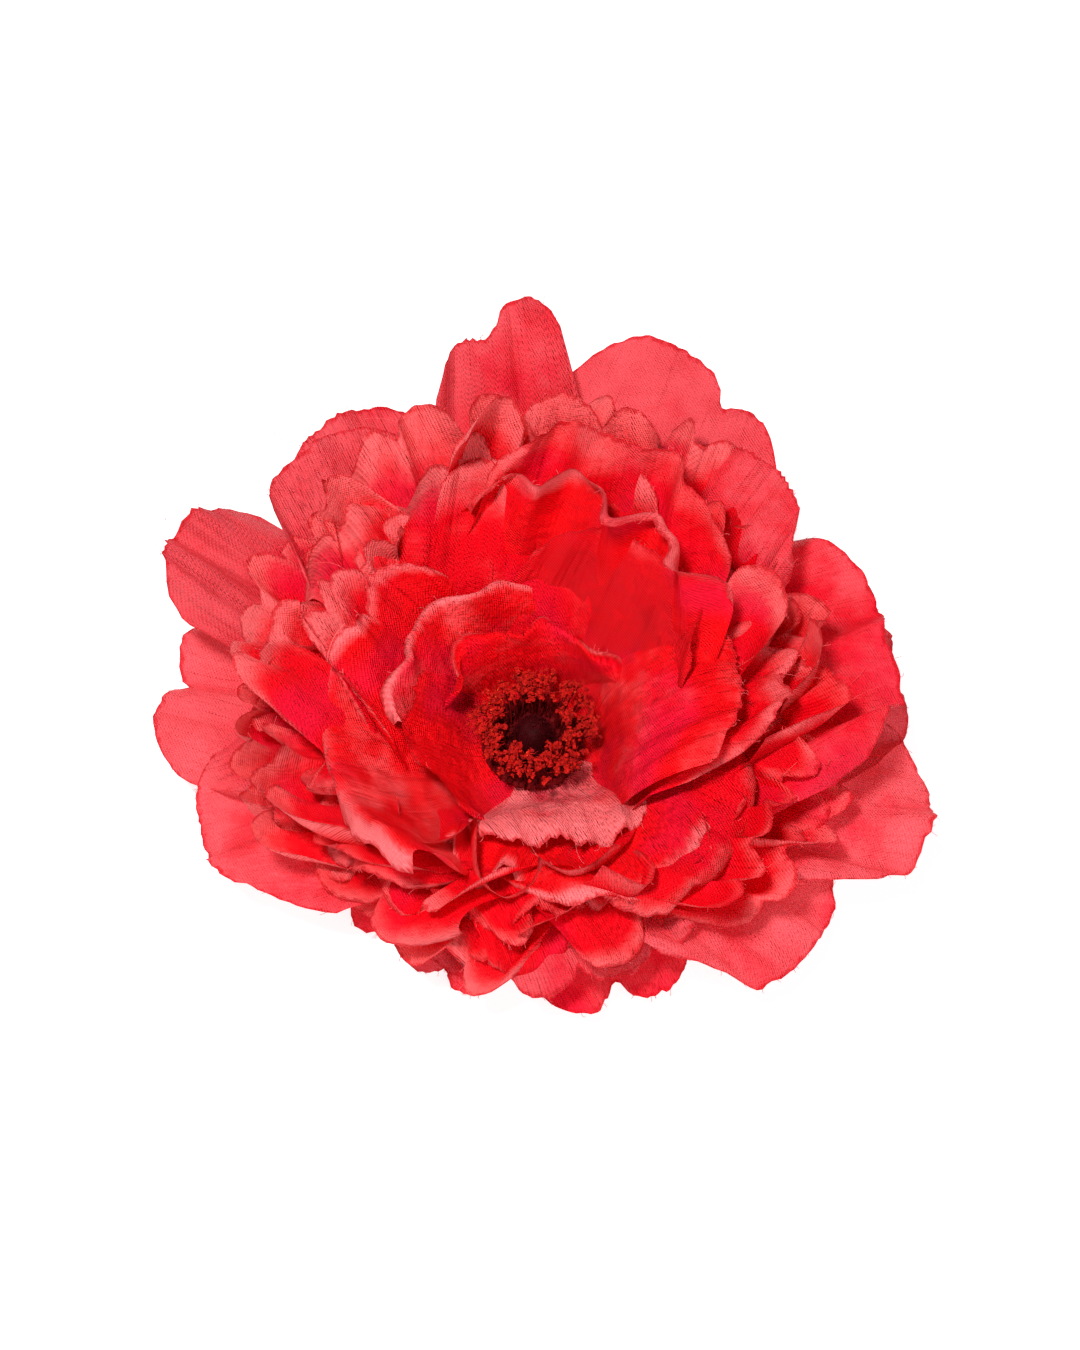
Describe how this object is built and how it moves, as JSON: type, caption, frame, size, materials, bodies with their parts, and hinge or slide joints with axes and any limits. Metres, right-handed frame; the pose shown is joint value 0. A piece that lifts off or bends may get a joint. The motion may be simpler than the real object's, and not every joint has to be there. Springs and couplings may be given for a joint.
{
  "type": "flower hair clip",
  "caption": "Full fabric peony of stacked petal layers with a stamened heart, on a felt disc fixed to a sprung toothed alligator clip that grips the hair.",
  "frame": {"origin": "on the flower's axis, in the flat underside of the clip's lower arm, which is the face the clip lies on", "axes": "+Z out of the bloom along the flower's axis, +X along the clip from its toothed jaws to its press levers, +Y towards the taller side of the bloom"},
  "size_m": [0.1357, 0.135, 0.062],
  "materials": {
    "guard_satin": "coral satin-weave petal cloth, dyed darker at the edges",
    "petal_satin": "red satin-weave petal cloth, dyed darker at the edges",
    "heart_satin": "deep red satin-weave petal cloth with pale curled rims",
    "stamen": "flocked stamen heads on dyed threads",
    "pod": "dark crimson flocked foam",
    "felt": "red craft felt",
    "plastic": "moulded natural polythene",
    "glue": "set hot-melt glue",
    "steel": "nickel-plated spring steel"
  },
  "bodies": {
    "flower": {"clip_upper_arm": "steel", "pivot_pin": "steel", "torsion_spring": "steel", "glue_pad": "glue", "felt_disc": "felt", "felt_lock_patch": "felt", "stem_plug": "plastic", "petal_spacer_1": "plastic", "petal_spacer_2": "plastic", "petal_spacer_3": "plastic", "stamen_seat": "plastic", "guard_petals_lower": "guard_satin", "guard_petals_middle": "guard_satin", "guard_petals_upper": "guard_satin", "frill_petals_1": "petal_satin", "frill_petals_2": "petal_satin", "frill_petals_3": "petal_satin", "frill_petals_4": "petal_satin", "frill_petals_5": "petal_satin", "cup_petals_outer": "petal_satin", "cup_petals_middle": "heart_satin", "cup_petals_inner": "heart_satin", "heart_petals": "heart_satin", "stamens_inner": "stamen", "stamens_outer": "stamen", "seed_pod": "pod"},
    "lower_jaw": {"clip_lower_arm": "steel"}
  },
  "joints": [
    {"name": "jaw_hinge", "type": "hinge", "parent": "flower", "child": "lower_jaw", "pos_m": [0, 0, 0.005], "axis": [0, -1, 0], "range_deg": [0, 17.5], "stiffness_Nm_per_rad": 0.12, "springref_deg": -25.78, "deforming": ["torsion_spring"]}
  ]
}
